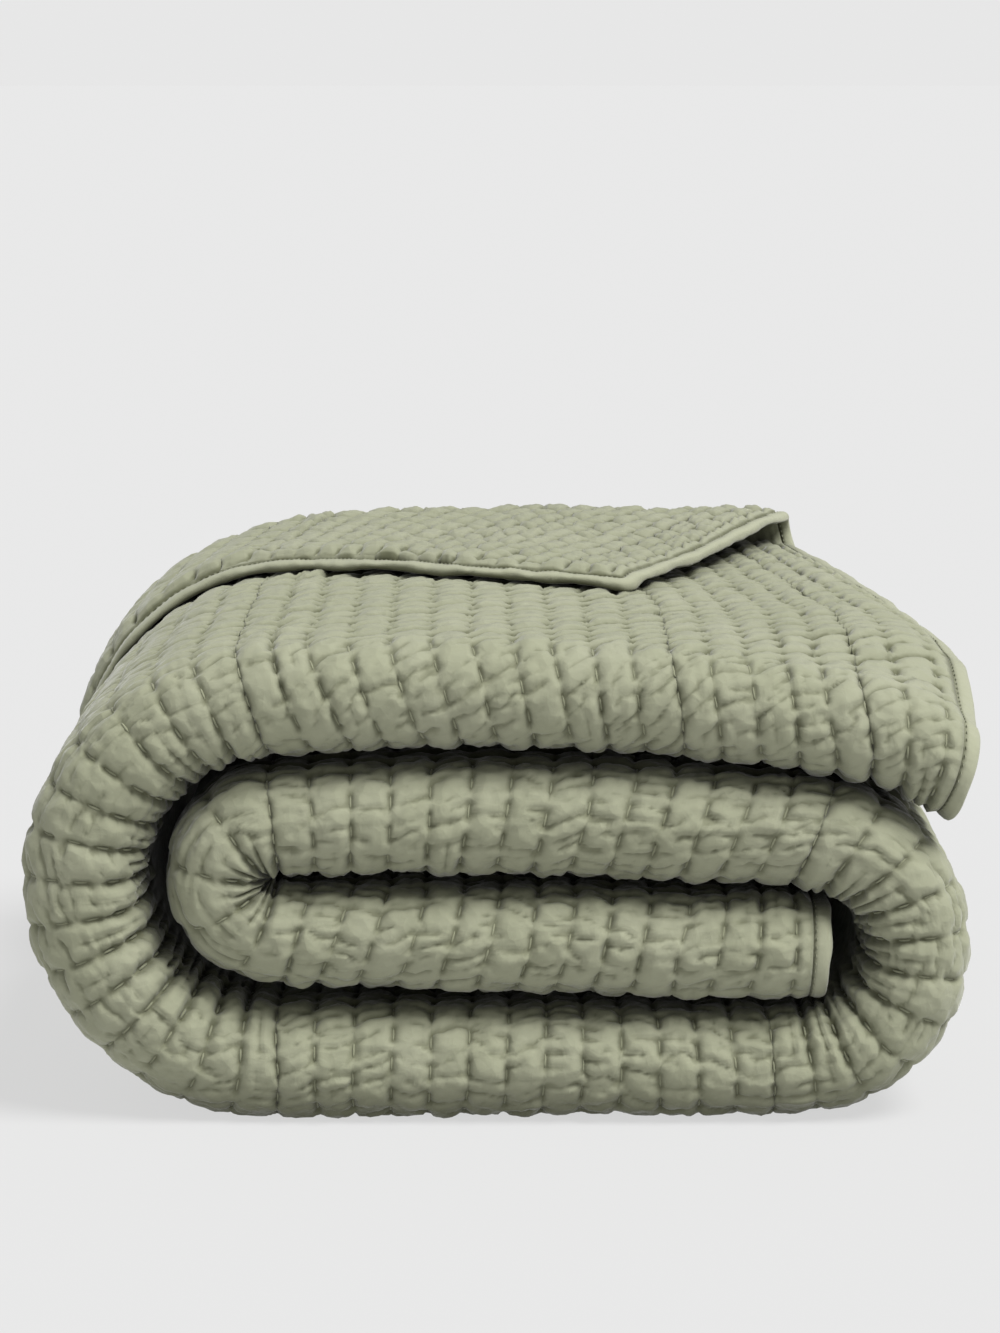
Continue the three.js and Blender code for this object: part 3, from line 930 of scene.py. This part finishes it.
# Points of the rolled binding, this far out from its seam and off its middle, and that middle
def bindingSpots(s, w, turn, away, off, run):
    size = binding
    fineRun, fineAway = size["fineWaveSize"]
    wave = softNoise(run / size["waveSize"], 0 * run, 71)
    wave = wave + size["fineWave"] * softNoise(run / fineRun, away / fineAway, 73)
    lean = size["twist"] * softNoise(run / size["twistSize"], 0 * run, 72) * away
    hollow = (1 + np.cos(2 * np.pi * run / threads["topstitch"]["pitch"])) / 2
    nearSeam = np.exp(-((away / size["puckerReach"]) ** 2))
    half = np.abs(off) * (1 + size["wave"] * wave)
    half = half - size["pucker"] * hollow * nearSeam * (np.abs(off) > 0)
    thick = np.sign(off) * half + lean / size["twistReach"]
    away = away * (1 + size["wobble"] * softNoise(run / size["wobbleSize"], 0 * run, 74))
    ss, ww = s + away * np.cos(turn), w + away * np.sin(turn)
    row, start = zoneStarts(ss)
    middle = place(ss, ww, 0 * ss, row, start)
    return place(ss, ww, thick, row, start), middle


def bindingPiece():
    s, w, turn = bindingPath()
    run = np.concatenate([[0], np.cumsum(np.hypot(np.diff(s), np.diff(w)))])
    top = binding["section"]
    outline = top + [(away, -half) for away, half in top[-2::-1]]
    away, off = (np.array(column, float) for column in zip(*outline))
    rings, sides = np.meshgrid(np.arange(len(s)), np.arange(len(away)), indexing="ij")
    points, _ = bindingSpots(s[rings], w[rings], turn[rings], away[sides], off[sides], run[rings])
    index = np.arange(rings.size).reshape(rings.shape)
    nextRing, nextSide = np.roll(index, -1, axis=0), np.roll(index, -1, axis=1)
    both = np.roll(nextRing, -1, axis=1)
    quads = np.stack([index, nextRing, both, nextSide], -1).reshape(-1, 4)
    points = points.reshape(-1, 3)
    quads = facedOut(points, quads)
    across = away + binding["undersideShift"] * (off < 0)
    cloth = np.stack([run[rings], across[sides]], -1).reshape(-1, 2)
    print(f"edge_binding_roll: {trianglesIn(quads)} triangles")

    # its topstitches, on both faces where it shows
    thread = threads["topstitch"]
    centres = np.arange(thread["pitch"] / 2, run[-1], thread["pitch"])

    def along(values, at):
        return np.interp(at, run, values)

    onPanel = along(w, centres) < roll["bindingWidth"] + binding["panelInset"]
    onPanel &= along(s, centres) < roll["clothLength"] - binding["endInset"]
    rolledIn = along(w, centres) > roll["clothWidth"] - binding["hiddenInset"]
    rolledIn &= along(s, centres) < binding["showsFrom"]
    shows = ~onPanel & ~rolledIn
    places, lift = alongStitch(thread)
    at = centres[shows][:, None] + places
    out = np.full(at.shape, thread["away"])
    for side in (1, -1):
        level = side * np.interp(thread["away"], away[: len(top)], off[: len(top)]) + 0 * at
        edgeSpots = [along(values, at) for values in (s, w, turn)]
        surface, middle = bindingSpots(*edgeSpots, out, level, at)
        up = unit(surface - middle)
        sewnLines["topstitch"] += zip(surface + up * lift, up)
    # the binding's even level of painted hollow shade at every point
    paintedShadeDips = np.full(len(points), binding["paintedShadeDip"])
    return newMesh("edge_binding_roll", points, quads, cloth, paintedShadeDips)


bindingRoll = bindingPiece()
half = len(sewnLines["running"]) // 2
sewn = [
    threadPiece("running_stitches_inner", "running", slice(0, half)),
    threadPiece("running_stitches_outer", "running", slice(half, None)),
    threadPiece("binding_topstitches", "topstitch"),
]


def newFinish(name):
    material = bpy.data.materials.new(name)
    material.use_nodes = True
    return material, material.node_tree, material.node_tree.nodes["Principled BSDF"]


def setSockets(node, values):
    for socket, value in values.items():
        node.inputs[socket].default_value = value


cotton = {
    "light": (0.32, 0.33, 0.23, 1),
    # painted shade for the seams' hollows, where the relief dips
    "deep": (0.125, 0.13, 0.07, 1),
    "faded": (0.40, 0.405, 0.305, 1),
    "fadedShare": 0.35,
    "fadedFrom": (0.42, 0.72),  # of the patches' noise
    "patchSize": 14,  # patches a metre
    # painted shade in folds and crevices, laid on through an occlusion node
    "paintedFoldShade": (0.05, 0.052, 0.026, 1),
    "foldReach": 0.04,
    "foldShade": 0.95,
    "foldSamples": 6,
    "fullHollowShadeBelow": 0.05,  # of the relief's dip, below which the painted shade in the hollows is full
    "noHollowShadeAbove": 0.62,
    "roughness": 0.9,
    "sheen": 0.35,
    "sheenRoughness": 0.4,
    "specular": 0.15,
    "threads": 1450.0,  # woven threads a metre
    "weaveBump": 0.00003,
    "creaseSize": 105.0,  # fine creases a metre
    "creaseBump": 0.0011,
    "crumpleSize": 95,
    "crumpleBump": 0.0008,
}
bindingCotton = {
    # its own lighter cloth, with a paler painted shade for its hollows
    **cotton, "light": (0.37, 0.38, 0.27, 1), "deep": (0.29, 0.30, 0.2, 1),
    "creaseBump": 0.0005, "crumpleBump": 0.0006,
}
threadCotton = {
    **cotton, "light": (0.30, 0.31, 0.21, 1), "faded": (0.34, 0.35, 0.25, 1),
    # less painted fold shade on the threads
    "creaseBump": 0.0, "crumpleBump": 0.0, "threads": 900.0, "foldShade": 0.5,
}


def washedCotton(name, look, hasCloth=True):
    material, tree, surface = newFinish(name)

    # a new node, with a number or colour or another node's output in each socket named
    def node(kind, inputs, **settings):
        made = tree.nodes.new("ShaderNode" + kind)
        for key, value in settings.items():
            setattr(made, key, value)
        for socket, value in inputs.items():
            if isinstance(value, bpy.types.NodeSocket):
                tree.links.new(value, made.inputs[socket])
            else:
                made.inputs[socket].default_value = value
        return made

    def share(value, low, high, top=1.0):
        limits = {"From Min": low, "From Max": high, "To Max": top}
        return node("MapRange", {"Value": value, **limits}).outputs["Result"]

    def blend(a, b, factor):
        sockets = {"A": a, "B": b, "Factor": factor}
        return node("Mix", sockets, data_type="RGBA").outputs["Result"]

    def maths(operation, *values):
        return node("Math", dict(enumerate(values)), operation=operation).outputs[0]

    setSockets(surface, {
        "Roughness": look["roughness"], "Specular IOR Level": look["specular"],
        "Sheen Weight": look["sheen"], "Sheen Roughness": look["sheenRoughness"],
    })
    where = node("TexCoord", {})
    cloth = where.outputs["UV" if hasCloth else "Object"]
    spot = where.outputs["Object"]

    # colour: a little faded in patches, with painted shade deeper down in the seams and in the
    # folds
    patchy = {"Vector": spot, "Scale": look["patchSize"], "Detail": 5, "Roughness": 0.6}
    patches = node("TexNoise", patchy).outputs["Fac"]
    worn = share(patches, *look["fadedFrom"], look["fadedShare"])
    colour = blend(look["light"], look["faded"], worn)
    if hasCloth:
        # painted shade in the hollows, from how far each point lies up out of them
        paintedShadeDip = node("Attribute", {}, attribute_name="paintedShadeDip").outputs["Fac"]
        level = share(paintedShadeDip, look["fullHollowShadeBelow"], look["noHollowShadeAbove"])
        colour = blend(look["deep"], colour, level)
    reach = {"Distance": look["foldReach"]}
    # painted shade in the folds, where little light reaches
    unshaded = node("AmbientOcclusion", reach, samples=look["foldSamples"]).outputs["AO"]
    shaded = blend(look["paintedFoldShade"], colour, maths("POWER", unshaded, look["foldShade"]))
    tree.links.new(shaded, surface.inputs["Base Color"])

    # relief: soft crumple, fine folded creases, and the weave
    soft = {"Scale": look["crumpleSize"], "Detail": 4, "Roughness": 0.55, "Distortion": 0.6}
    crumples = node("TexNoise", {"Vector": spot, **soft}).outputs["Fac"]
    folded = {"Vector": spot, "Scale": look["creaseSize"], "Randomness": 1}
    creases = node("TexVoronoi", folded).outputs["Distance"]
    across = node("SeparateXYZ", {"Vector": cloth})
    turn = look["threads"] * 2 * math.pi
    waves = [maths("SINE", maths("MULTIPLY", across.outputs[axis], turn)) for axis in "XY"]
    reliefs = [
        (crumples, look["crumpleBump"]),
        (creases, look["creaseBump"]),
        (maths("MULTIPLY", *waves), look["weaveBump"]),
    ]
    below = {}
    for source, distance in reliefs:
        if distance:
            bump = node("Bump", {"Height": source, "Distance": distance, **below})
            below = {"Normal": bump.outputs["Normal"]}
    tree.links.new(below["Normal"], surface.inputs["Normal"])
    return material


clothFinish = washedCotton("washed_cotton", cotton)
bindingFinish = washedCotton("binding_cotton", bindingCotton)
threadFinish = washedCotton("sewing_thread", threadCotton, hasCloth=False)
for piece in sections:
    piece.data.materials.append(clothFinish)
for piece in sewn:
    piece.data.materials.append(threadFinish)
bindingRoll.data.materials.append(bindingFinish)
print("washed cotton on the quilt, its binding and its threads")

for piece in sections + sewn + [bindingRoll]:
    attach(piece, "root")
print(f"{len(sections)} sections declared as one folded cloth")


# Camera at the photograph's angle
view = {
    "place": (0.00326, -2.49282, 0.700),
    "aim": (0.00326, -0.29282, 0.3105),
    "lens": 93.17,
    "sensor": 36,
}
cameraData = bpy.data.cameras.new("camera")
cameraData.lens = view["lens"]
cameraData.sensor_width = view["sensor"]
camera = bpy.data.objects.new("camera", cameraData)
bpy.context.scene.collection.objects.link(camera)
camera.location = view["place"]
toward = Vector(view["aim"]) - Vector(view["place"])
camera.rotation_euler = toward.to_track_quat("-Z", "Y").to_euler()
bpy.context.scene.camera = camera

# A pale seamless studio: even light from all round, brighter overhead, and a broad soft sun
studio = {
    "backdrop": 0.80,
    "overhead": 0.34,
    "overheadFrom": (0.03, 0.22),  # how steeply up the backdrop starts and stops dimming
    "floorShade": (0.14, 0.14, 0.14, 1),
    "floorGlow": 0.619,
    "floorSize": 160.0,
    "sun": {"toward": (0.43, -0.25, 0.86), "power": 3.75, "spread": 26.0},
}
world = bpy.data.worlds.new("studio")
bpy.context.scene.world = world
world.use_nodes = True
sky, skyLinks = world.node_tree.nodes, world.node_tree.links
direction = sky.new("ShaderNodeTexCoord")
parts = sky.new("ShaderNodeSeparateXYZ")
climb = sky.new("ShaderNodeMapRange")
setSockets(climb, {
    "From Min": studio["overheadFrom"][0], "From Max": studio["overheadFrom"][1],
    "To Min": studio["backdrop"], "To Max": studio["overhead"],
})
skyLinks.new(direction.outputs["Generated"], parts.inputs["Vector"])
skyLinks.new(parts.outputs["Z"], climb.inputs["Value"])
setSockets(sky["Background"], {"Color": (1, 1, 1, 1)})
skyLinks.new(climb.outputs["Result"], sky["Background"].inputs["Strength"])

sunData = bpy.data.lights.new("sun", "SUN")
sunData.energy = studio["sun"]["power"]
sunData.angle = math.radians(studio["sun"]["spread"])
sun = bpy.data.objects.new("sun", sunData)
bpy.context.scene.collection.objects.link(sun)
sun.rotation_euler = Vector(studio["sun"]["toward"]).to_track_quat("Z", "Y").to_euler()

bpy.ops.mesh.primitive_plane_add(size=studio["floorSize"])
floor = bpy.context.object
floor.name = "floor"
floorFinish, _, surface = newFinish("floor_paper")
setSockets(surface, {
    "Base Color": studio["floorShade"], "Roughness": 1, "Specular IOR Level": 0,
    "Emission Color": (1, 1, 1, 1), "Emission Strength": studio["floorGlow"],
})
floor.data.materials.append(floorFinish)
bpy.context.scene.view_settings.view_transform = "Standard"
print("camera, studio light and floor in place")

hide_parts("quilt_body")
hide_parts("edge_binding")
